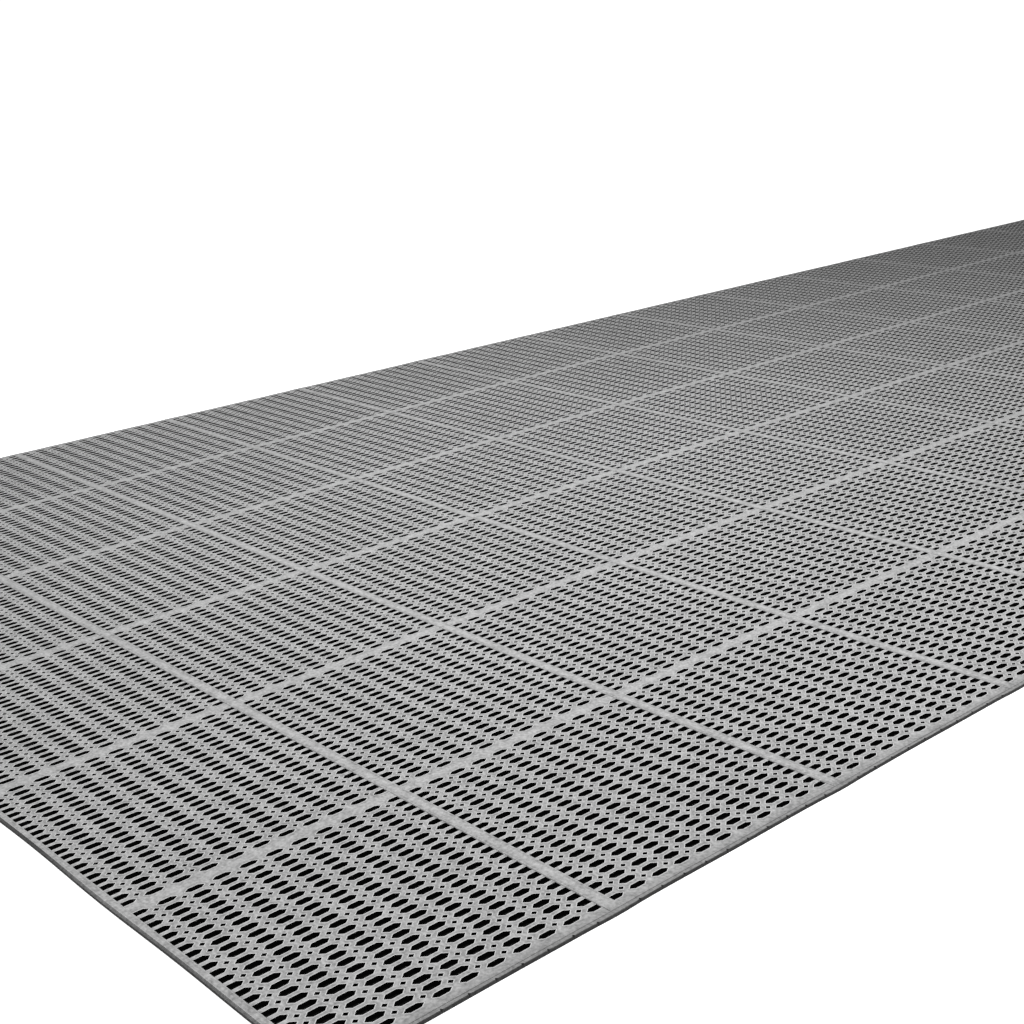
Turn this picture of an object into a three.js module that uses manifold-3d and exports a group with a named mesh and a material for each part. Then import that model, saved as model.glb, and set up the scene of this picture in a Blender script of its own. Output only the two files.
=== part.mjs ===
// Drainage mat: one moulded sheet of black-grey rubber, lying flat, pierced by rows of long
// hexagonal slots with a small diamond hole between every four of them. Raised crossbars run
// across its width and plain bands run along its length, so that the field is a grid of modules.
// Millimetres, X along the mat, Y across it, Z up, origin at the middle of the underside.
import * as THREE from 'three';
import { mergeGeometries, mergeVertices } from 'three/addons/utils/BufferGeometryUtils.js';
import Module from 'manifold-3d';

const wasm = await Module();
wasm.setup();

// Modules in the whole sheet
const MODULES_LONG = 14;
const MODULES_WIDE = 6;

// Section
const SHEET_THICKNESS = 4.2;
const CROSSBAR_RISE = 0.6;

// One module of the field, counted between two crossbars and between two bands
const FULL_SLOTS = 9;
const ROWS = 23;
const SLOT_PITCH = 28.2;
const ROW_PITCH = 12.7;

// Full slot, a hexagon with its points along the mat
const SLOT_LENGTH = 20.5;
const SLOT_POINT = 4.8;
const SLOT_WIDTH = 8.1;
const OUTER_SLOT_WIDTH = 6.8;

// Short slot, cut off flat by a crossbar
const SHORT_SLOT_LENGTH = 14.4;
const SHORT_SLOT_GAP = 7.45;

// Diamond hole in the middle of four slots
const DIAMOND_LENGTH = 6.5;
const DIAMOND_WIDTH = 5.5;

// Crossbars, bands and borders
const CROSSBAR_WIDTH = 15;
const CROSSBAR_SHOULDER = 0.5;
const CROSSBAR_SLOPE = 1;
const CROSSBAR_END_GAP = 4;
const BAND_STEP = 22.2;
const LONG_BORDER = 18.5;
const END_BORDER = 10;

// The rows of a module that one opening stands for, where its holes are joined
const JOINED_ROWS = 12;

const COLOUR = 0xa6a7a8;

const firstSlot = CROSSBAR_WIDTH / 2 + SHORT_SLOT_LENGTH + SHORT_SLOT_GAP + SLOT_LENGTH / 2;
const moduleLength = (FULL_SLOTS - 1) * SLOT_PITCH + 2 * firstSlot;
const moduleWidth = (ROWS - 1) * ROW_PITCH + BAND_STEP;
const length = MODULES_LONG * moduleLength - CROSSBAR_WIDTH + 2 * END_BORDER;
const width = MODULES_WIDE * moduleWidth - BAND_STEP + 2 * LONG_BORDER;
const firstCrossbarX = -length / 2 + END_BORDER - CROSSBAR_WIDTH / 2;
const firstRowY = -width / 2 + LONG_BORDER;
const cutDepth = SHEET_THICKNESS + 2 * CROSSBAR_RISE;

// Open area of one row of slots and of the diamonds that follow it
const slotArea = (SLOT_LENGTH - SLOT_POINT) * SLOT_WIDTH;
const shortSlotArea = (SHORT_SLOT_LENGTH - SLOT_POINT / 2) * SLOT_WIDTH;
const diamondArea = (DIAMOND_LENGTH * DIAMOND_WIDTH) / 2;
const rowArea = FULL_SLOTS * slotArea + 2 * shortSlotArea + (FULL_SLOTS + 1) * diamondArea;

// Turns a closed geometry into a solid that can be joined and cut.
function toSolid(geometry) {
  const bare = geometry.index ? geometry.toNonIndexed() : geometry.clone();
  bare.deleteAttribute('normal');
  bare.deleteAttribute('uv');
  const merged = mergeVertices(bare, 1e-5);
  return new wasm.Manifold(new wasm.Mesh({
    numProp: 3,
    vertProperties: new Float32Array(merged.attributes.position.array),
    triVerts: new Uint32Array(merged.index.array),
  }));
}

function toGeometry(solid) {
  const mesh = solid.getMesh();
  const geometry = new THREE.BufferGeometry();
  geometry.setAttribute('position', new THREE.BufferAttribute(mesh.vertProperties, mesh.numProp));
  geometry.setIndex(new THREE.BufferAttribute(mesh.triVerts, 1));
  return geometry;
}

// A prism through the sheet over an outline given as [x, y] corners, anticlockwise.
function throughCut(corners) {
  const shape = new THREE.Shape(corners.map(([x, y]) => new THREE.Vector2(x, y)));
  const prism = new THREE.ExtrudeGeometry(shape, { depth: cutDepth, bevelEnabled: false });
  return prism.translate(0, 0, -CROSSBAR_RISE);
}

// A full slot centred on (x, y).
function fullSlot(x, y, slotWidth) {
  const tip = SLOT_LENGTH / 2;
  const side = tip - SLOT_POINT;
  const half = slotWidth / 2;
  return throughCut([
    [x - tip, y],
    [x - side, y - half],
    [x + side, y - half],
    [x + tip, y],
    [x + side, y + half],
    [x - side, y + half],
  ]);
}

// A short slot whose flat end lies at x and whose point looks along the mat in direction way.
function shortSlot(x, y, way, slotWidth) {
  const half = slotWidth / 2;
  const side = x + way * (SHORT_SLOT_LENGTH - SLOT_POINT);
  const corners = [
    [x, y - half],
    [side, y - half],
    [x + way * SHORT_SLOT_LENGTH, y],
    [side, y + half],
    [x, y + half],
  ];
  return throughCut(way > 0 ? corners : corners.reverse());
}

function diamond(x, y) {
  return throughCut([
    [x - DIAMOND_LENGTH / 2, y],
    [x, y - DIAMOND_WIDTH / 2],
    [x + DIAMOND_LENGTH / 2, y],
    [x, y + DIAMOND_WIDTH / 2],
  ]);
}

// The holes of the rows from first to last, as they are, in the module that starts at crossbar
// centre x0 and first row centre y0.
function rowHoles(x0, y0, first, last) {
  const holes = [];
  for (let row = first; row <= last; row += 1) {
    const y = y0 + row * ROW_PITCH;
    const slotWidth = row === 0 || row === ROWS - 1 ? OUTER_SLOT_WIDTH : SLOT_WIDTH;
    for (let slot = 0; slot < FULL_SLOTS; slot += 1) {
      holes.push(fullSlot(x0 + firstSlot + slot * SLOT_PITCH, y, slotWidth));
    }
    holes.push(shortSlot(x0 + CROSSBAR_WIDTH / 2, y, 1, slotWidth));
    holes.push(shortSlot(x0 + moduleLength - CROSSBAR_WIDTH / 2, y, -1, slotWidth));
  }
  for (let row = first; row < last; row += 1) {
    for (let column = 0; column <= FULL_SLOTS; column += 1) {
      const x = x0 + firstSlot + (column - 0.5) * SLOT_PITCH;
      holes.push(diamond(x, y0 + (row + 0.5) * ROW_PITCH));
    }
  }
  return holes;
}

// The same rows joined into one opening between two crossbars, with the same open area.
function joinedRows(x0, y0, first, last) {
  const left = x0 + CROSSBAR_WIDTH / 2;
  const right = x0 + moduleLength - CROSSBAR_WIDTH / 2;
  const middle = y0 + ((first + last) / 2) * ROW_PITCH;
  const half = ((last - first + 1) * rowArea) / (right - left) / 2;
  return throughCut([
    [left, middle - half],
    [right, middle - half],
    [right, middle + half],
    [left, middle + half],
  ]);
}

// The cuts of one module. Its rows are joined in groups, apart from the first group of the
// corner module, which has every hole as it is on the whole mat.
function moduleCuts(along, across) {
  const x0 = firstCrossbarX + along * moduleLength;
  const y0 = firstRowY + across * moduleWidth;
  const cuts = [];
  for (let first = 0; first < ROWS; first += JOINED_ROWS) {
    const last = Math.min(first + JOINED_ROWS, ROWS) - 1;
    if (along === 0 && across === 0 && first === 0) {
      cuts.push(...rowHoles(x0, y0, first, last));
    } else {
      cuts.push(joinedRows(x0, y0, first, last));
    }
  }
  return cuts;
}

// The raised strip of one crossbar: a low trapezium carried across the mat.
function crossbar(x) {
  const foot = CROSSBAR_WIDTH / 2 - CROSSBAR_SHOULDER;
  const crown = foot - CROSSBAR_SLOPE;
  const rootZ = SHEET_THICKNESS / 2;
  const section = new THREE.Shape([
    new THREE.Vector2(x - foot, rootZ),
    new THREE.Vector2(x + foot, rootZ),
    new THREE.Vector2(x + foot, SHEET_THICKNESS),
    new THREE.Vector2(x + crown, SHEET_THICKNESS + CROSSBAR_RISE),
    new THREE.Vector2(x - crown, SHEET_THICKNESS + CROSSBAR_RISE),
    new THREE.Vector2(x - foot, SHEET_THICKNESS),
  ]);
  const run = width - 2 * CROSSBAR_END_GAP;
  const strip = new THREE.ExtrudeGeometry(section, { depth: run, bevelEnabled: false });
  strip.rotateX(Math.PI / 2);
  return strip.translate(0, run / 2, 0);
}

function drainageMat() {
  const blankHeight = SHEET_THICKNESS + CROSSBAR_RISE;
  const blank = new THREE.BoxGeometry(length, width, blankHeight).translate(0, 0, blankHeight / 2);
  const sheet = new THREE.BoxGeometry(length, width, SHEET_THICKNESS);
  let solid = toSolid(sheet.translate(0, 0, SHEET_THICKNESS / 2));
  for (let bar = 0; bar <= MODULES_LONG; bar += 1) {
    solid = solid.add(toSolid(crossbar(firstCrossbarX + bar * moduleLength)));
  }
  solid = solid.intersect(toSolid(blank));
  const cuts = [];
  for (let along = 0; along < MODULES_LONG; along += 1) {
    for (let across = 0; across < MODULES_WIDE; across += 1) {
      cuts.push(...moduleCuts(along, across));
    }
  }
  return toGeometry(solid.subtract(toSolid(mergeGeometries(cuts))));
}

const group = new THREE.Group();
const rubber = new THREE.MeshStandardMaterial({ color: COLOUR, roughness: 0.75, metalness: 0 });
const mat = new THREE.Mesh(drainageMat(), rubber);
mat.name = 'drainage_mat';
group.add(mat);

export default group;
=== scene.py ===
# %% [markdown]
# # A moulded rubber drainage mat
#
# This lesson dresses one flat sheet of rubber matting. The real mat comes out of a press as a
# single piece: thousands of long six-sided slots let water through, a small diamond hole sits
# between every four of them, smooth crossbars run across the sheet and plain bands run along it.
#
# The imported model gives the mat's outside box, so that is loaded first. Everything that follows
# is worked out inside that box, in the same frame, with X along the mat, Y across it and Z up.

import math

import bpy
import numpy as np
from mathutils import Matrix, Vector


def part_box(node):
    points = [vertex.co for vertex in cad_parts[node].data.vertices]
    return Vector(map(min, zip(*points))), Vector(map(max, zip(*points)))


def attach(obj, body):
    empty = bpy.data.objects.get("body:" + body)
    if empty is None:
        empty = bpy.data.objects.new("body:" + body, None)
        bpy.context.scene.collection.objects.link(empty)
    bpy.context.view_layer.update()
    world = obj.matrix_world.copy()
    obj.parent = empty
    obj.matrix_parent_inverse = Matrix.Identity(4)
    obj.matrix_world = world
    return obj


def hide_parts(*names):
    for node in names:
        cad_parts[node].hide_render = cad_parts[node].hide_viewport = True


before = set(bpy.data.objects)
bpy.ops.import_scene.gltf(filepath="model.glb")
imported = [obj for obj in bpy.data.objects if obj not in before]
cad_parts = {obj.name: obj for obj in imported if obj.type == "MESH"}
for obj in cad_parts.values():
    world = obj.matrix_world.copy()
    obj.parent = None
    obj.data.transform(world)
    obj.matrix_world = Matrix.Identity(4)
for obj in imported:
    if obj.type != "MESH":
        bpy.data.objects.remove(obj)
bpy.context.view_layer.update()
MM = 0.001
box_low, box_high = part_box("drainage_mat")
BOX_SIZE = np.array(box_high - box_low) / MM
print("the mat's box in millimetres:", BOX_SIZE.round(1))

# %% [markdown]
# ## The camera
#
# The camera comes early, because every later choice is judged through it. It stands about
# 0.75 m above the floor beside one end of the mat and looks down along it at an angle.
#
# A camera can be aimed with a constraint, with angles typed by eye, or with angles solved from
# the picture. The last is used: the grid of slots is so regular that its vanishing lines fix the
# place, the direction and the lens, and these come out as the few real values below.

# %% Camera
CAMERA_PLACE = Vector((-2.6555, -1.7594, 0.7501))
CAMERA_HEADING = math.radians(49.322)
CAMERA_DROP = math.radians(18.097)
CAMERA_ROLL = math.radians(-2.933)
CAMERA_LENS = 56.172
SENSOR_WIDTH = 36.0
CLIP_NEAR, CLIP_FAR = 0.01, 60.0


def make_camera():
    """A camera turned from straight down: tipped up, turned to its heading, then rolled."""
    data = bpy.data.cameras.new("camera")
    data.lens = CAMERA_LENS
    data.sensor_width = SENSOR_WIDTH
    data.clip_start, data.clip_end = CLIP_NEAR, CLIP_FAR
    camera = bpy.data.objects.new("camera", data)
    bpy.context.scene.collection.objects.link(camera)
    heading = Matrix.Rotation(CAMERA_HEADING - math.pi / 2, 4, "Z")
    tip = Matrix.Rotation(math.pi / 2 - CAMERA_DROP, 4, "X")
    roll = Matrix.Rotation(CAMERA_ROLL, 4, "Z")
    camera.matrix_world = Matrix.Translation(CAMERA_PLACE) @ heading @ tip @ roll
    bpy.context.scene.camera = camera
    return camera


camera = make_camera()
print("camera at", [round(c, 3) for c in camera.location], "with a lens of", CAMERA_LENS, "mm")

# %% [markdown]
# ## The sizes of the pattern
#
# A moulded mat repeats one module: the field between two crossbars and two bands. Only a few
# sizes drive it, and the places of all slots follow from them by arithmetic. They could be
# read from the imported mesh, but written out they say what the mould maker would have chosen:
# rows half an inch apart and crossbars one foot apart.

# %% Driving sizes, in millimetres
MODULES_LONG, MODULES_WIDE = 14, 6
ROWS, FULL_SLOTS = 23, 9
SLOT_PITCH, ROW_PITCH = 28.2, 12.7
SLOT_LENGTH, SLOT_POINT = 20.5, 4.8
SLOT_WIDTH, OUTER_SLOT_WIDTH = 8.1, 6.8
SHORT_SLOT_LENGTH, SHORT_SLOT_GAP = 14.4, 7.45
DIAMOND_LENGTH, DIAMOND_WIDTH = 6.5, 5.5
CROSSBAR_WIDTH, CROSSBAR_SLOPE, CROSSBAR_RISE = 15.0, 1.0, 0.6
BAND_STEP, LONG_BORDER, END_BORDER = 22.2, 18.5, 10.0
EDGE_ROUND, END_ROUND = 0.5, 2.0

TOP = BOX_SIZE[2]
SHEET_TOP = TOP - CROSSBAR_RISE
FIRST_SLOT = CROSSBAR_WIDTH / 2 + SHORT_SLOT_LENGTH + SHORT_SLOT_GAP + SLOT_LENGTH / 2
MODULE_LENGTH = (FULL_SLOTS - 1) * SLOT_PITCH + 2 * FIRST_SLOT
MODULE_WIDTH = (ROWS - 1) * ROW_PITCH + BAND_STEP
LENGTH = MODULES_LONG * MODULE_LENGTH - CROSSBAR_WIDTH + 2 * END_BORDER
WIDTH = MODULES_WIDE * MODULE_WIDTH - BAND_STEP + 2 * LONG_BORDER
FIRST_CROSSBAR = END_BORDER - CROSSBAR_WIDTH / 2 - LENGTH / 2
FIRST_ROW = LONG_BORDER - WIDTH / 2
print("modules of", round(MODULE_LENGTH, 1), "by", round(MODULE_WIDTH, 1), "mm")
print("worked out", round(LENGTH, 1), "by", round(WIDTH, 1), "mm, box", BOX_SIZE[:2].round(1))

# %% [markdown]
# ## A patch of sheet as a drawing
#
# Seen from above, the mat is a flat drawing of faces with holes left out between them. A boolean
# cut of forty thousand holes would take minutes and leave ragged faces. It is quicker and
# cleaner to draw one cell, a slot with the rubber round it, and to repeat it.
#
# A patch is three arrays: points (x, y and the height of the upper face), faces of three or
# four corners, and for each corner its distance from the nearest slot edge and diamond edge.
# Those distances will tell the material later where to paint the highlight along the rims.
#
# In a drawing the lower-case letters are corners of the hole, and capitals lie on the outline.

# %% Patches from lettered drawings
FAR = 40.0


def line_distance(points, corners, edge):
    """Distance of each corner from the line through an edge's two points, or from its one."""
    if not edge:
        return np.full(len(corners), FAR)
    away = points[corners, :2] - points[edge[0], :2]
    along = points[edge[-1], :2] - points[edge[0], :2]
    reach = math.hypot(*along)
    if reach == 0:
        return np.hypot(away[:, 0], away[:, 1])
    return np.abs(away[:, 0] * along[1] - away[:, 1] * along[0]) / reach


def draw_patch(letters, faces, diamond_edges):
    """A patch from named points and faces spelled with their names, anticlockwise."""
    names = list(letters)
    points = np.array([(*letters[n], SHEET_TOP) for n in names])
    corners = np.full((len(faces), 4), -1)
    rims = np.full((len(faces), 4, 2), FAR)
    for place, face in enumerate(faces):
        index = [names.index(n) for n in face]
        slot_edge = [names.index(n) for n in face if n.islower()]
        diamond_edge = [names.index(n) for e in diamond_edges if e in face for n in e]
        corners[place, : len(index)] = index
        rims[place, : len(index), 0] = line_distance(points, index, slot_edge)
        rims[place, : len(index), 1] = line_distance(points, index, diamond_edge)
    return points, corners, rims


def mirrored(patch, axis, middle=0.0):
    """A patch reflected in a line across the axis, with its faces turned to stay upright."""
    points, corners, rims = patch
    points = points.copy()
    points[:, axis] = 2 * middle - points[:, axis]
    three = corners[:, 3] < 0
    order = np.where(three[:, None], [2, 1, 0, 3], [3, 2, 1, 0])
    rows = np.arange(len(corners))[:, None]
    return points, corners[rows, order], rims[rows, order]


print("rubber further than", FAR, "mm from a hole counts as plain")

# %% [markdown]
# ## Slots and diamonds
#
# A full cell holds a whole six-sided slot, and a quarter of a diamond at each corner of its
# outline. It also comes with a plain lower side, for the rows beside a band, where the slots
# are a little narrower and no diamonds follow. Its mirror image serves the row above a band.
#
# The outline could be cut through the slots instead, which needs fewer faces. But with the hole
# in the middle of its cell the faces all reach from rim to outline, and none turns inside out.

# %% The full cells
HALF_PITCH, HALF_ROW = SLOT_PITCH / 2, ROW_PITCH / 2
TIP, SIDE = SLOT_LENGTH / 2, SLOT_LENGTH / 2 - SLOT_POINT
PLAIN = BAND_STEP / 2
DIAMOND_X, DIAMOND_Y = DIAMOND_LENGTH / 2, DIAMOND_WIDTH / 2
INNER, OUTER = SLOT_WIDTH / 2, OUTER_SLOT_WIDTH / 2


def full_cell(half):
    """A whole slot, its half width given, with four quarter diamonds round it."""
    x, y = HALF_PITCH, HALF_ROW
    letters = {
        "a": (TIP, 0), "b": (SIDE, half), "c": (-SIDE, half),
        "d": (-TIP, 0), "e": (-SIDE, -half), "f": (SIDE, -half),
        "A": (x, DIAMOND_Y - y), "B": (x, y - DIAMOND_Y),
        "C": (x - DIAMOND_X, y), "D": (DIAMOND_X - x, y),
        "E": (-x, y - DIAMOND_Y), "F": (-x, DIAMOND_Y - y),
        "G": (DIAMOND_X - x, -y), "H": (x - DIAMOND_X, -y),
    }
    faces = ["ABa", "BCba", "CDcb", "DEdc", "EFd", "FGed", "GHfe", "HAaf"]
    return draw_patch(letters, faces, ["BC", "DE", "FG", "HA"])


def full_cell_by_band(half):
    """A whole slot with diamonds above it and plain rubber below, down to the band's middle."""
    x, y = HALF_PITCH, HALF_ROW
    letters = {
        "a": (TIP, 0), "b": (SIDE, half), "c": (-SIDE, half),
        "d": (-TIP, 0), "e": (-SIDE, -half), "f": (SIDE, -half),
        "A": (x, -PLAIN), "B": (x, y - DIAMOND_Y),
        "C": (x - DIAMOND_X, y), "D": (DIAMOND_X - x, y),
        "E": (-x, y - DIAMOND_Y), "F": (-x, -PLAIN),
    }
    faces = ["ABa", "BCba", "CDcb", "DEdc", "EFd", "Fed", "FAfe", "Aaf"]
    return draw_patch(letters, faces, ["BC", "DE"])


print("a full cell has", len(full_cell(INNER)[1]), "faces on its upper side")

# %% [markdown]
# ## Slots against a crossbar
#
# On the real mat each crossbar runs straight over the ends of the slots beside it, so a short
# cell holds a slot that is cut off flat. It is drawn for the right-hand side of a crossbar at
# x = 0. Its mirror image, laid at the far end of each module, serves the other side.

# %% The short cells
BAR_SIDE = CROSSBAR_WIDTH / 2
SHORT_TIP = BAR_SIDE + SHORT_SLOT_LENGTH
SHORT_SIDE = SHORT_TIP - SLOT_POINT
FIRST_COLUMN = FIRST_SLOT - HALF_PITCH


def short_cell(half, above):
    """A slot cut off by the crossbar at x = 0. The next slot's corner lies at height above."""
    x, y = FIRST_COLUMN, HALF_ROW
    letters = {
        "a": (SHORT_TIP, 0), "b": (SHORT_SIDE, half), "c": (BAR_SIDE, half),
        "d": (BAR_SIDE, -half), "e": (SHORT_SIDE, -half),
        "A": (x, DIAMOND_Y - y), "B": (x, y - DIAMOND_Y),
        "C": (x - DIAMOND_X, y), "D": (BAR_SIDE, above), "H": (x - DIAMOND_X, -y),
    }
    faces = ["ABa", "BCba", "Ccb", "CDc", "HAae", "Hed"]
    return draw_patch(letters, faces, ["BC", "HA"])


def short_cell_by_band(half, above=None):
    """The same beside a band. With no height above, the face up to the next slot is left out."""
    x, y = FIRST_COLUMN, HALF_ROW
    letters = {
        "a": (SHORT_TIP, 0), "b": (SHORT_SIDE, half), "c": (BAR_SIDE, half),
        "d": (BAR_SIDE, -half), "e": (SHORT_SIDE, -half),
        "A": (x, -PLAIN), "B": (x, y - DIAMOND_Y), "C": (x - DIAMOND_X, y),
        "F": (BAR_SIDE, -PLAIN),
    }
    faces = ["ABa", "BCba", "Ccb", "Aae", "FAed"]
    if above is not None:
        letters["D"] = (BAR_SIDE, above)
        faces.append("CDc")
    return draw_patch(letters, faces, ["BC"])


print("a short cell has", len(short_cell(INNER, HALF_ROW)[1]), "faces on its upper side")

# %% [markdown]
# ## Crossbars
#
# A crossbar is a strip that stands a little proud, with a sloping shoulder on each side. The
# foot of each shoulder has a point for every corner of the slots that it cuts, so that the two
# fit edge to edge. On the first and last crossbar the outer shoulder is the bevelled end of
# the sheet.
#
# Two lines of different fineness can't simply share an edge, because a closed mesh needs every
# point of one on the other. Where few points face many, a bridge of triangles joins them, so
# the flat crown of a crossbar stays one long face.

# %% Grids, bridges and crossbars
# Added to the distances from the crown edges, so that the painted highlight there is fainter.
CROWN_HIGHLIGHT_OFFSET = 0.45


def line_points(xs, ys, heights):
    """A row of points, with any of the three coordinates given once for all."""
    return np.stack(np.broadcast_arrays(xs, ys, heights), -1).astype(float)


def grid_patch(xs, ys, heights):
    """Points at every pair of xs and ys with the heights given, and a face in each gap."""
    across, along = np.meshgrid(xs, ys, indexing="ij")
    points = np.stack([across, along, np.broadcast_to(heights, across.shape)], -1)
    number = np.arange(across.size).reshape(across.shape)
    faces = [number[:-1, :-1], number[1:, :-1], number[1:, 1:], number[:-1, 1:]]
    corners = np.stack(faces, -1).reshape(-1, 4)
    return points.reshape(-1, 3), corners, np.full((*corners.shape, 2), FAR)


def bridge_patch(many, few, axis):
    """Triangles between a line of many points and, on its left, a line of few, along an axis.

    Each stretch of the first line takes the nearest point of the second. Where that point
    changes, one triangle joins the two to the place of the change."""
    middles = (few[1:, axis] + few[:-1, axis]) / 2
    nearest = np.searchsorted(middles, (many[1:, axis] + many[:-1, axis]) / 2)
    count = len(many)
    number = np.arange(count)
    from_many = np.stack([number[:-1], number[1:], count + nearest], -1)
    change = np.searchsorted(nearest, np.arange(1, len(few)))
    pair = count + np.arange(len(few) - 1)
    from_few = np.stack([pair + 1, pair, change], -1)
    corners = np.concatenate([from_many, from_few])
    corners = np.pad(corners, ((0, 0), (0, 1)), constant_values=-1)
    return np.concatenate([many, few]), corners, np.full((len(corners), 4, 2), FAR)


def crossbar_profile(number):
    """The x lines of a crossbar and its heights; the first and last end at the sheet's end."""
    middle = FIRST_CROSSBAR + number * MODULE_LENGTH
    crown = BAR_SIDE - CROSSBAR_SLOPE
    xs = middle + np.array([-BAR_SIDE, -crown, crown, BAR_SIDE])
    heights = np.array([SHEET_TOP, TOP, TOP, SHEET_TOP])
    if number == 0:
        xs[:2] = -LENGTH / 2, END_ROUND - LENGTH / 2
        heights[0] = TOP - END_ROUND
    if number == MODULES_LONG:
        xs[2:] = LENGTH / 2 - END_ROUND, LENGTH / 2
        heights[3] = TOP - END_ROUND
    return xs, heights


def slot_corner_lines(strip):
    """The y lines of one strip: its two sides and both sides of every row of slots."""
    rows = FIRST_ROW + strip * MODULE_WIDTH + np.arange(ROWS) * ROW_PITCH
    half = np.full(ROWS, INNER)
    half[[0, -1]] = OUTER
    sides = np.stack([rows - half, rows + half], -1).ravel()
    return np.concatenate([[rows[0] - PLAIN], sides, [rows[-1] + PLAIN]])


def crossbar_patch(number, ys):
    """One crossbar over the y lines given, with the distances to its two crown edges. They
    start a little above zero, so that the painted highlight along these edges is fainter than
    on the rims of the holes.

    The first and last keep every line on their crown, for the trimmed end to wave with."""
    xs, heights = crossbar_profile(number)
    at_end = number in (0, MODULES_LONG)
    ends = ys if at_end else ys[[0, -1]]
    crown = grid_patch(xs[1:3], ends, TOP)
    near, far = CROWN_HIGHLIGHT_OFFSET, CROWN_HIGHLIGHT_OFFSET + xs[2] - xs[1]
    crown[2][:, :, 0] = [near, far, far, near]
    crown[2][:, :, 1] = [far, near, near, far]
    if at_end:
        slopes = [grid_patch(xs[side], ys, heights[side, None]) for side in ([0, 1], [2, 3])]
    else:
        foot, edge = line_points(xs[3], ys, SHEET_TOP), line_points(xs[2], ends, TOP)
        slope = bridge_patch(foot, edge, 1)
        slopes = [slope, mirrored(slope, 0, (xs[1] + xs[2]) / 2)]
    return join([crown, *slopes])


print("a crossbar meets", len(slot_corner_lines(0)), "lines in each strip")

# %% [markdown]
# ## The long borders
#
# Each long side ends in a lip: the last few millimetres lie a little lower, behind a small step,
# and a tiny notch is pressed into its upper edge at every column of diamonds. The lip therefore
# needs many more lines along the mat than the cells beside it, and a bridge joins the two.

# %% Borders with a lip
LIP_WIDTH, LIP_DROP, LIP_STEP = 4.6, 0.35, 0.5
NICK_WIDTH, NICK_DEPTH, NICK_REACH = 2.8, 2.4, 2.0
LIP_SPACING = SLOT_PITCH / 3
BAR_CLEARANCE = 1.0
DECIMALS = 4


def border_lines():
    """The x of every cell corner along a border, its height, and the x of every nick."""
    bars = [crossbar_profile(number) for number in range(MODULES_LONG + 1)]
    starts = FIRST_CROSSBAR + MODULE_LENGTH * np.arange(MODULES_LONG)
    columns = FIRST_COLUMN + SLOT_PITCH * np.arange(FULL_SLOTS + 1)
    nicks = (starts[:, None] + columns).ravel()
    xs = np.concatenate([nicks] + [lines for lines, heights in bars])
    rises = np.concatenate([np.full(len(nicks), SHEET_TOP)] + [heights for lines, heights in bars])
    order = np.argsort(xs)
    return xs[order], rises[order], nicks


def border_patch():
    """The plain border below the first strip, all along the mat.

    The lip has the x of every cell corner, both sides of every notch, and a line on each side
    between two notches, unless it would come too near a crossbar."""
    xs, rises, nicks = border_lines()
    half = NICK_WIDTH / 2
    extra = (nicks[:, None] + np.array([-half, half, -LIP_SPACING, LIP_SPACING])).ravel()
    bars = FIRST_CROSSBAR + MODULE_LENGTH * np.arange(MODULES_LONG + 1)
    clear = np.abs(extra[:, None] - bars).min(1) > CROSSBAR_WIDTH / 2 + BAR_CLEARANCE
    fine = np.unique(np.concatenate([xs, extra[clear]]).round(DECIMALS))
    lip = SHEET_TOP - LIP_DROP
    outer = -WIDTH / 2
    ys = outer + np.array([0, EDGE_ROUND, LIP_WIDTH, LIP_WIDTH + LIP_STEP])
    points, corners, rims = grid_patch(fine, ys, np.array([lip - EDGE_ROUND, lip, lip, SHEET_TOP]))
    nicked = np.isin(points[:, 0], nicks.round(DECIMALS))
    points[nicked & (points[:, 1] == ys[0]), 2] -= NICK_DEPTH
    points[nicked & (points[:, 1] == ys[1]), 1] += NICK_REACH
    upper = line_points(fine, ys[-1], SHEET_TOP)
    inner = line_points(xs, FIRST_ROW - PLAIN, rises)
    return join([(points, corners, rims), bridge_patch(upper, inner, 0)])


print("a border has", len(border_lines()[2]), "notches")

# %% [markdown]
# ## Laying the cells
#
# The mat is laid in six strips, one for each row of modules, because a single mesh of nearly a
# million triangles is slow to work with. The seams lie in the middle of the plain bands, where
# the two sides match exactly and nothing shows.
#
# Copies could be made with an Array modifier or with instances, but adding one array of places
# to one array of points does the same in a single line and keeps every number exact.

# %% Lay, join and weld
WELD = 0.002


def lay(patch, xs, ys):
    """Copies of a patch at every pair of xs and ys: points plus places, corners plus a count."""
    points, corners, rims = patch
    places = np.stack(np.meshgrid(xs, ys, [0.0], indexing="ij"), -1).reshape(-1, 1, 3)
    step = len(points) * np.arange(len(places)).reshape(-1, 1, 1)
    many = np.where(corners >= 0, corners + step, -1).reshape(-1, 4)
    return (points + places).reshape(-1, 3), many, np.tile(rims, (len(places), 1, 1))


def join(patches):
    """Several patches as one, with each one's corners counted on from those before it."""
    counts = np.cumsum([0] + [len(p[0]) for p in patches[:-1]])
    corners = [np.where(p[1] >= 0, p[1] + c, -1) for p, c in zip(patches, counts)]
    points = np.concatenate([p[0] for p in patches])
    return points, np.concatenate(corners), np.concatenate([p[2] for p in patches])


def weld(patch):
    """Points that lie at one place become one point."""
    points, corners, rims = patch
    keys = np.round(points[:, :2] / WELD).astype(np.int64)
    _, first, same = np.unique(keys, axis=0, return_index=True, return_inverse=True)
    same = same.ravel()
    return points[first], np.where(corners >= 0, same[corners], -1), rims


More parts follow.
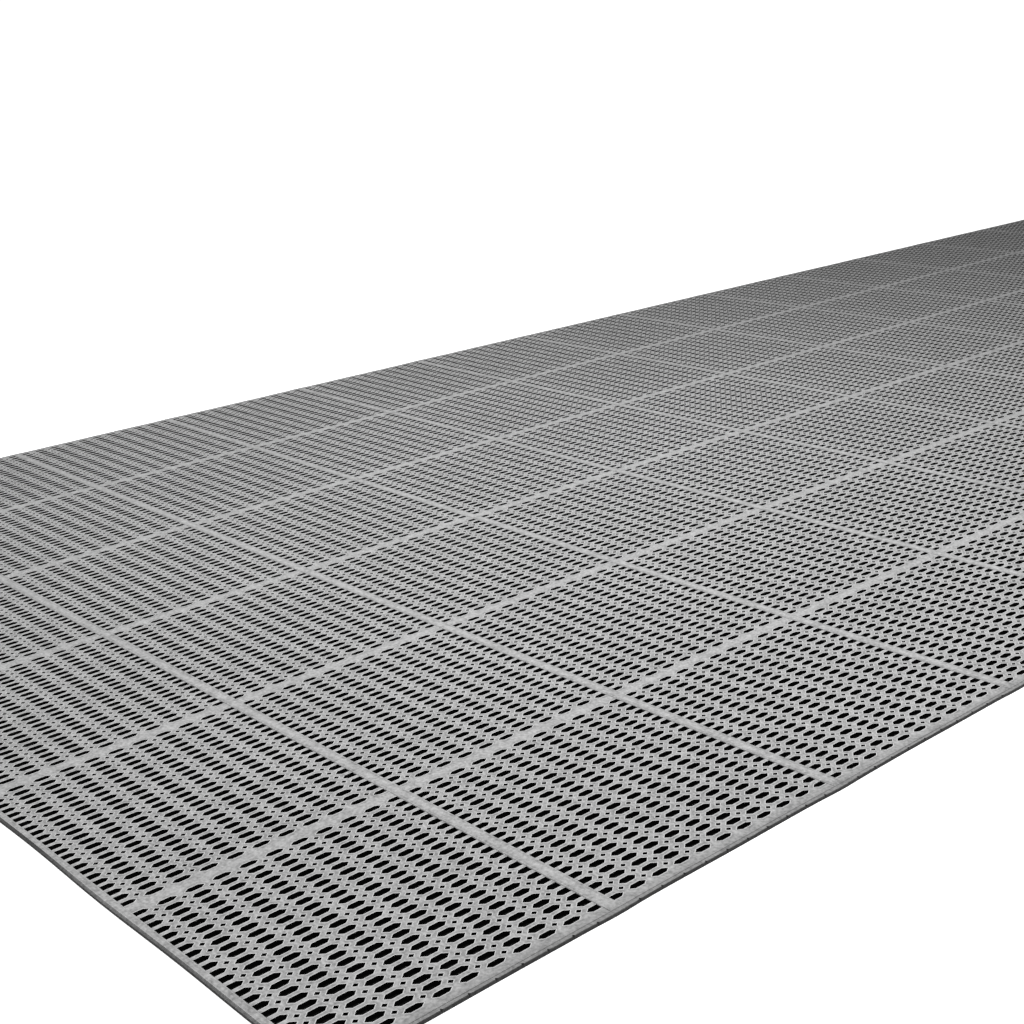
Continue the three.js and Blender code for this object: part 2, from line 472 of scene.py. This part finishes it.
def strip_patch(strip):
    """All of one strip: cells between the crossbars, the crossbars and any border."""
    starts = FIRST_CROSSBAR + MODULE_LENGTH * np.arange(MODULES_LONG)
    slots = (starts[:, None] + FIRST_SLOT + SLOT_PITCH * np.arange(FULL_SLOTS)).ravel()
    rows = FIRST_ROW + strip * MODULE_WIDTH + ROW_PITCH * np.arange(ROWS)
    first, inner, last = rows[:1], rows[1:-1], rows[-1:]
    by_band = full_cell_by_band(OUTER)
    parts = [
        lay(full_cell(INNER), slots, inner),
        lay(by_band, slots, first),
        lay(mirrored(by_band, 1), slots, last),
    ]
    next_corner = ROW_PITCH - INNER
    short = [
        (short_cell(INNER, next_corner), inner[:-1]),
        (short_cell(INNER, ROW_PITCH - OUTER), inner[-1:]),
        (short_cell_by_band(OUTER, next_corner), first),
        (mirrored(short_cell_by_band(OUTER), 1), last),
    ]
    for patch, ys in short:
        parts.append(lay(patch, starts, ys))
        parts.append(lay(mirrored(patch, 0, MODULE_LENGTH / 2), starts, ys))
    lines = slot_corner_lines(strip)
    for number in range(MODULES_LONG + 1):
        parts.append(crossbar_patch(number, lines))
    if strip == 0:
        parts.append(border_patch())
    if strip == MODULES_WIDE - 1:
        parts.append(mirrored(border_patch(), 1))
    return weld(join(parts))


print("the first strip is a drawing of", len(strip_patch(0)[1]), "faces")

# %% [markdown]
# ## Giving the drawing its thickness
#
# A flat drawing becomes a solid sheet in one step. The same faces are turned over and laid at
# floor level, and a wall drops from every edge that only one face uses. Those edges are exactly
# the rims of the holes and the outside of the strip, so the mesh closes by itself.

# %% Thickness
def open_edges(corners):
    """Start and end of each edge that one face alone uses."""
    ends = np.roll(corners, -1, axis=1)
    ends[:, 2] = np.where(corners[:, 3] < 0, corners[:, 0], ends[:, 2])
    used = corners >= 0
    start, end = corners[used], ends[used]
    key = np.minimum(start, end) * (corners.max() + 1) + np.maximum(start, end)
    _, inverse, count = np.unique(key, return_inverse=True, return_counts=True)
    alone = count[inverse.ravel()] == 1
    return start[alone], end[alone]


def thicken(patch):
    """Upper faces, the same faces turned over at z = 0, and a wall under every open edge."""
    points, corners, rims = patch
    floor_points = points * [1, 1, 0]
    count = len(points)
    rows = np.arange(len(corners))[:, None]
    order = np.where((corners[:, 3] < 0)[:, None], [2, 1, 0, 3], [3, 2, 1, 0])
    under = corners[rows, order]
    start, end = open_edges(corners)
    walls = np.stack([start, start + count, end + count, end], -1)
    faces = np.concatenate([corners, np.where(under >= 0, under + count, -1), walls])
    distances = [rims, rims[rows, order], np.full((len(walls), 4, 2), FAR)]
    return np.concatenate([points, floor_points]), faces, np.concatenate(distances)


print("a cell with one hole has", len(open_edges(full_cell(INNER)[1])[0]), "open edges")

# %% [markdown]
# ## The trimmed outline
#
# A mat like this is trimmed by knife and lies a little slack, so no edge is quite straight. Only
# the points of the borders move: the whole way at the outline, and not at all where the holes
# begin.
#
# Random wobble would need a seed and could fold an edge. Sums of slow sines give the same soft
# waves by a formula. A turn length says how far along the edge a sine advances by one radian.

# %% Wavy edges
SIDE_WAVE, SIDE_TURNS = 0.2, (61.0, 143.0, 29.0)
END_WAVE, END_TURNS = 0.7, (43.0, 117.0)
LIP_SINK, SINK_TURNS = 0.3, (11.0, 37.0, 83.0)
BULGE, BULGE_REACH = 1.0, 25.0


def sine(along, turn, phase=0.0):
    """A sine along an edge: the place over the turn length, plus a phase."""
    return np.sin(along / turn + phase)


def wavy_edges(points):
    """Each border moved inwards by its wave, which is a sum of sines raised to stay positive.

    A long border also moves in by the bulge times one minus a bell curve of the distance from
    the nearest crossbar, because the stiff crossbar ends stand out. Its upper face sinks by a
    product of two sines, one of them with a phase that wanders."""
    x, y, z = points.T
    side, end = np.sign(y), np.sign(x)
    inner = WIDTH / 2 - LONG_BORDER + PLAIN
    near_side = np.clip((np.abs(y) - inner) / (WIDTH / 2 - inner), 0, 1)
    near_end = np.clip((np.abs(x) - (LENGTH / 2 - END_BORDER)) / END_BORDER, 0, 1)
    phases = [side, 2 * side, 0]
    along = len(phases) + sum(sine(x, turn, phase) for turn, phase in zip(SIDE_TURNS, phases))
    phases = [end, 2 * end]
    across = len(phases) + sum(sine(y, turn, phase) for turn, phase in zip(END_TURNS, phases))
    from_bar = (x - FIRST_CROSSBAR + MODULE_LENGTH / 2) % MODULE_LENGTH - MODULE_LENGTH / 2
    slack = BULGE * (1 - np.exp(-((from_bar / BULGE_REACH) ** 2)))
    short, wander, long = SINK_TURNS
    sink = (1 + sine(x, short, 2 * sine(x, wander)) * sine(x, long, side)) / 2
    moved = points.copy()
    moved[:, 0] -= end * near_end * END_WAVE * across
    moved[:, 1] -= side * near_side * (SIDE_WAVE * along + slack)
    moved[:, 2] -= LIP_SINK * near_side * sink * (z > 0)
    return moved


print("the long borders move in by at most", 2 * len(SIDE_TURNS) * SIDE_WAVE + BULGE, "mm")

# %% [markdown]
# ## The strips as pieces
#
# Each strip becomes one Blender object. Every array goes into its mesh in one call, which is
# thousands of times quicker than a loop over its corners. The distances to the rims travel along
# as a UV map, because a UV map gives a material one pair of numbers for every corner.

# %% Six closed pieces
def make_mesh(name, points, corners, rims):
    """A Blender mesh from points in millimetres, faces, and their distances to the rims."""
    used = corners >= 0
    totals = used.sum(1)
    mesh = bpy.data.meshes.new(name)
    mesh.vertices.add(len(points))
    mesh.vertices.foreach_set("co", (points * MM).ravel())
    mesh.loops.add(int(totals.sum()))
    mesh.loops.foreach_set("vertex_index", corners[used])
    mesh.polygons.add(len(corners))
    mesh.polygons.foreach_set("loop_start", np.cumsum(totals) - totals)
    mesh.update(calc_edges=True)
    mesh.shade_flat()
    layer = mesh.uv_layers.new(name="rim_distance")
    layer.uv.foreach_set("vector", (rims[used] * MM).ravel())
    return mesh


def make_strip(strip):
    """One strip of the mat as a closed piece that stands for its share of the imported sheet."""
    name = "mat_strip_%d" % (strip + 1)
    points, corners, rims = thicken(strip_patch(strip))
    mesh = make_mesh(name, wavy_edges(points), corners, rims)
    piece = bpy.data.objects.new(name, mesh)
    bpy.context.scene.collection.objects.link(piece)
    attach(piece, "root")
    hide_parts("drainage_mat")
    triangles = int((corners >= 0).sum() - 2 * len(corners))
    left_open = len(open_edges(corners)[0])
    print(name, "has", triangles, "triangles and", left_open, "open edges")
    return piece


strips = [make_strip(strip) for strip in range(MODULES_WIDE)]

# %% [markdown]
# ## Short words for shader nodes
#
# A material is a little network of nodes. Written out in full each node takes four or five
# lines, so a few helper functions give each common step a name: calculate, fade, blend.

# %% Node helpers
def add_node(tree, kind, **settings):
    """A node of the given kind with its properties set."""
    node = tree.nodes.new(kind)
    for key, value in settings.items():
        setattr(node, key, value)
    return node


def fill(tree, sockets, values):
    """Each value into its socket: a link where it is a socket itself, else a number."""
    for socket, value in zip(sockets, values):
        if isinstance(value, bpy.types.NodeSocket):
            tree.links.new(value, socket)
        else:
            socket.default_value = value


def calculate(tree, operation, *values):
    """A Math node on sockets or numbers; returns its output."""
    node = add_node(tree, "ShaderNodeMath", operation=operation)
    fill(tree, node.inputs, values)
    return node.outputs[0]


def blend_values(tree, first, second, share):
    """first where share is 0 and second where it is 1."""
    node = add_node(tree, "ShaderNodeMix", data_type="FLOAT")
    fill(tree, [node.inputs[0], node.inputs[2], node.inputs[3]], (share, first, second))
    return node.outputs[0]


def fade(tree, value, start, end):
    """A smooth step from 0 at start to 1 at end."""
    node = add_node(tree, "ShaderNodeMapRange", interpolation_type="SMOOTHSTEP")
    fill(tree, [node.inputs[name] for name in ("Value", "From Min", "From Max")], (value, start, end))
    return node.outputs["Result"]


def noise(tree, place, scale, detail, roughness):
    """A noise centred on zero, from about -0.5 to 0.5, with so many features a metre."""
    node = add_node(tree, "ShaderNodeTexNoise")
    names = ("Vector", "Scale", "Detail", "Roughness")
    fill(tree, [node.inputs[name] for name in names], (place, scale, detail, roughness))
    return calculate(tree, "SUBTRACT", node.outputs["Fac"], 0.5)


def split(tree, vector):
    """The three parts of a vector."""
    node = add_node(tree, "ShaderNodeSeparateXYZ")
    tree.links.new(vector, node.inputs[0])
    return node.outputs


def set_grey(tree, shader, grey):
    """One value as red, green and blue of the shader's base colour."""
    colour = add_node(tree, "ShaderNodeCombineColor")
    fill(tree, colour.inputs, (grey, grey, grey))
    tree.links.new(colour.outputs[0], shader.inputs["Base Color"])


def inside_box(tree, place, inset):
    """1 where a place lies further than the inset inside the mat's outline, else 0."""
    inside = 1.0
    for part, side in zip(split(tree, place)[:2], (LENGTH, WIDTH)):
        reach = side * MM / 2 - inset
        near = calculate(tree, "LESS_THAN", calculate(tree, "ABSOLUTE", part), reach)
        inside = calculate(tree, "MULTIPLY", near, inside)
    return inside


def new_material(name):
    """A material, its node tree and its shader."""
    material = bpy.data.materials.new(name)
    material.use_nodes = True
    return material, material.node_tree, material.node_tree.nodes["Principled BSDF"]


print("node helpers are ready")

# %% [markdown]
# ## Worn grey rubber with painted shade and highlights
#
# The mat is black rubber all through, as the cut sides and the insides of the slots show. Its
# upper face has weathered to a flat mid grey, with faint clouds and fine speckle, and a paler
# line along the rims of the holes is a painted highlight. Rubber away from the holes is a little
# paler, the long borders grow darker towards their edges, and the lower lip carries painted
# shade.
#
# The grey could be one colour, but a real surface never is. Here three noises of very different
# sizes are laid over each other, and the direction of the face decides between weathered grey
# and raw black, with painted shade on sloping faces. The rim line, a painted highlight, reads
# the distances that were kept with every corner of the mesh.

# %% The rubber material
RAW_RUBBER, SCUFFED_SIDE, SIDE_INSET = 0.006, 0.035, 3.0 * MM
WEATHERED_GREY, RIM_HIGHLIGHT_GREY = 0.30, 0.60
RIM_WIDTH = 0.95 * MM
RIM_CORE, PLAIN_START, PLAIN_END = 0.3 * RIM_WIDTH, 2.5 * RIM_WIDTH, 5 * RIM_WIDTH
PLAIN_LIGHTER = 0.18
LIP_SHADE, BORDER_SHADE, SLOPE_SHADE = 0.85, 0.72, 0.70
STEP_MARGIN = 0.05
LEVEL_FACE, UPWARD_FACE = (0.84, 0.96), (0.5, 0.8)

# Each noise: features a metre, detail and roughness, then its share in the shade
CLOUDS, CLOUD_SHARE = (3.0, 3.0, 0.5), 0.25
BLOTCHES, BLOTCH_SHARE = (60.0, 5.0, 0.65), 0.8
GRAIN, GRAIN_SHARE, RAW_GRAIN_SHARE = (300.0, 3.0, 0.6), 1.7, 1.5

ROUGHNESS, ROUGHNESS_SPREAD, SPECULAR = 0.85, 0.2, 0.15
RELIEF_STRENGTH, RELIEF_HEIGHT, BLOTCH_RELIEF = 0.5, 0.2 * MM, 0.5


def weathered_grey_with_painted_light(tree, place, blotches, grain):
    """The upper face: one grey times one plus the shares of all that varies it, times painted
    shade on the lower lip and a darker tone towards the long edges, with a painted highlight on
    the rims."""
    slot_distance, diamond_distance = split(
        tree, add_node(tree, "ShaderNodeUVMap", uv_map="rim_distance").outputs[0]
    )[:2]
    nearest = calculate(tree, "MINIMUM", slot_distance, diamond_distance)
    plain = fade(tree, nearest, PLAIN_START, PLAIN_END)
    shade = calculate(tree, "MULTIPLY_ADD", plain, PLAIN_LIGHTER, 1.0)
    clouds = noise(tree, place, *CLOUDS)
    for value, share in ((clouds, CLOUD_SHARE), (blotches, BLOTCH_SHARE), (grain, GRAIN_SHARE)):
        shade = calculate(tree, "MULTIPLY_ADD", value, share, shade)
    along, across, height = split(tree, place)
    # Painted shade: the lower lip below the small step is made darker by its height alone.
    step = fade(tree, height, (SHEET_TOP - LIP_DROP) * MM, (SHEET_TOP - STEP_MARGIN) * MM)
    shade = calculate(tree, "MULTIPLY", shade, blend_values(tree, LIP_SHADE, 1.0, step))
    aside = calculate(tree, "ABSOLUTE", across)
    border = fade(tree, aside, (WIDTH / 2 - LONG_BORDER) * MM, (WIDTH / 2 - LIP_WIDTH) * MM)
    shade = calculate(tree, "MULTIPLY", shade, blend_values(tree, 1.0, BORDER_SHADE, border))
    weathered = calculate(tree, "MULTIPLY", shade, WEATHERED_GREY)
    # Painted highlight: a paler line along the rims of the holes and the edges of the crossbar
    # crowns.
    return blend_values(tree, weathered, RIM_HIGHLIGHT_GREY, fade(tree, nearest, RIM_WIDTH, RIM_CORE))


def rubber_material():
    """Weathered grey on faces that look up, with painted shade on slopes, raw black on all
    others and scuffed black on the outer sides."""
    material, tree, shader = new_material("weathered_rubber_with_painted_light")
    place = add_node(tree, "ShaderNodeTexCoord").outputs["Object"]
    blotches = noise(tree, place, *BLOTCHES)
    grain = noise(tree, place, *GRAIN)

    facing = split(tree, add_node(tree, "ShaderNodeNewGeometry").outputs["True Normal"])[2]
    # Painted shade: faces that tilt away from level, such as the crossbar shoulders, are made darker.
    slope = blend_values(tree, SLOPE_SHADE, 1.0, fade(tree, facing, *LEVEL_FACE))
    worn_grey_and_painted_light = calculate(tree, "MULTIPLY", weathered_grey_with_painted_light(tree, place, blotches, grain), slope)
    side = blend_values(tree, SCUFFED_SIDE, RAW_RUBBER, inside_box(tree, place, SIDE_INSET))
    speckle = calculate(tree, "MULTIPLY_ADD", grain, RAW_GRAIN_SHARE, 1.0)
    raw = calculate(tree, "MULTIPLY", side, speckle)
    set_grey(tree, shader, blend_values(tree, raw, worn_grey_and_painted_light, fade(tree, facing, *UPWARD_FACE)))

    dull = calculate(tree, "MULTIPLY_ADD", blotches, ROUGHNESS_SPREAD, ROUGHNESS)
    tree.links.new(dull, shader.inputs["Roughness"])
    shader.inputs["Specular IOR Level"].default_value = SPECULAR

    bump = add_node(tree, "ShaderNodeBump")
    bump.inputs["Strength"].default_value = RELIEF_STRENGTH
    bump.inputs["Distance"].default_value = RELIEF_HEIGHT
    relief = calculate(tree, "MULTIPLY_ADD", blotches, BLOTCH_RELIEF, grain)
    tree.links.new(relief, bump.inputs["Height"])
    tree.links.new(bump.outputs[0], shader.inputs["Normal"])
    return material


rubber = rubber_material()
for piece in strips:
    piece.data.materials.append(rubber)
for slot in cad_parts["drainage_mat"].material_slots:
    slot.material = rubber
print("rubber on", len(strips), "strips")

# %% [markdown]
# ## The floor
#
# The mat lies on a plain pale floor. Under the sheet the floor carries a dark patch of painted
# shadow, which makes the slots look black and stays hidden from outside.
#
# A floor that only reflects would turn grey away from the lamp. This one glows a little by
# itself, so that it stays white to the horizon, as a lit paper backdrop does.

# %% Floor
FLOOR_SIZE = 120.0
FLOOR_GAP = 0.05 * MM
FLOOR_WHITE, PAINTED_SHADOW_UNDER_MAT, FLOOR_GLOW = 0.9, 0.002, 0.8
FLOOR_ROUGHNESS, FLOOR_SPECULAR = 0.9, 0.1
PATCH_INSET = 6.0 * MM


def floor_material():
    """Pale and glowing everywhere but in a box just inside the mat's outline, which holds the
    painted shadow.
    """
    material, tree, shader = new_material("pale_floor")
    place = add_node(tree, "ShaderNodeTexCoord").outputs["Object"]
    inside = inside_box(tree, place, PATCH_INSET)
    # Painted shadow: the floor under the mat is dark, where only the mat's shade falls.
    set_grey(tree, shader, blend_values(tree, FLOOR_WHITE, PAINTED_SHADOW_UNDER_MAT, inside))
    glow = blend_values(tree, FLOOR_GLOW, 0.0, inside)
    tree.links.new(glow, shader.inputs["Emission Strength"])
    shader.inputs["Emission Color"].default_value = (1, 1, 1, 1)
    shader.inputs["Roughness"].default_value = FLOOR_ROUGHNESS
    shader.inputs["Specular IOR Level"].default_value = FLOOR_SPECULAR
    return material


def make_floor():
    """A wide square just under the mat."""
    half = FLOOR_SIZE / 2
    mesh = bpy.data.meshes.new("floor")
    square = [(-half, -half, 0), (half, -half, 0), (half, half, 0), (-half, half, 0)]
    mesh.from_pydata(square, [], [(0, 1, 2, 3)])
    mesh.materials.append(floor_material())
    floor = bpy.data.objects.new("floor", mesh)
    floor.location.z = -FLOOR_GAP
    bpy.context.scene.collection.objects.link(floor)


make_floor()
print("floor", FLOOR_SIZE, "m square")

# %% [markdown]
# ## The light
#
# The near half of the mat is more than twice as bright as its far end, so one broad soft lamp
# hangs over the near half.
#
# A strong even sky would drown that lamp, and its reflection would grey the far rubber, which
# is seen at a low angle. A weak sky that shines mostly from overhead avoids both. The camera
# alone sees it as white.

# %% Light
SKY_OVERHEAD, SKY_LOW, SKY_SEEN = 0.46, 0.04, 1.1
LAMP_POWER = 75.0
LAMP_SIZE = 1.6
LAMP_PLACE = Vector((-1.15, -0.35, 2.35))


def make_sky():
    """Its strength grows from low to overhead with the height of the direction, which is the
    sine of the angle above the horizon."""
    world = bpy.data.worlds.new("studio")
    world.use_nodes = True
    tree = world.node_tree
    sky = tree.nodes["Background"]
    sky.inputs["Color"].default_value = (1, 1, 1, 1)
    upward = split(tree, add_node(tree, "ShaderNodeTexCoord").outputs["Generated"])[2]
    share = calculate(tree, "MAXIMUM", upward, 0.0)
    light = blend_values(tree, SKY_LOW, SKY_OVERHEAD, share)
    seen = add_node(tree, "ShaderNodeLightPath").outputs["Is Camera Ray"]
    tree.links.new(blend_values(tree, light, SKY_SEEN, seen), sky.inputs["Strength"])
    bpy.context.scene.world = world


def make_lamp():
    """One broad lamp that looks straight down."""
    data = bpy.data.lights.new("soft_lamp", "AREA")
    data.shape = "SQUARE"
    data.size = LAMP_SIZE
    data.energy = LAMP_POWER
    lamp = bpy.data.objects.new("soft_lamp", data)
    lamp.location = LAMP_PLACE
    bpy.context.scene.collection.objects.link(lamp)


make_sky()
make_lamp()
bpy.context.scene.view_settings.view_transform = "Standard"
print("sky from", SKY_LOW, "to", SKY_OVERHEAD, "and a lamp of", LAMP_POWER, "W")
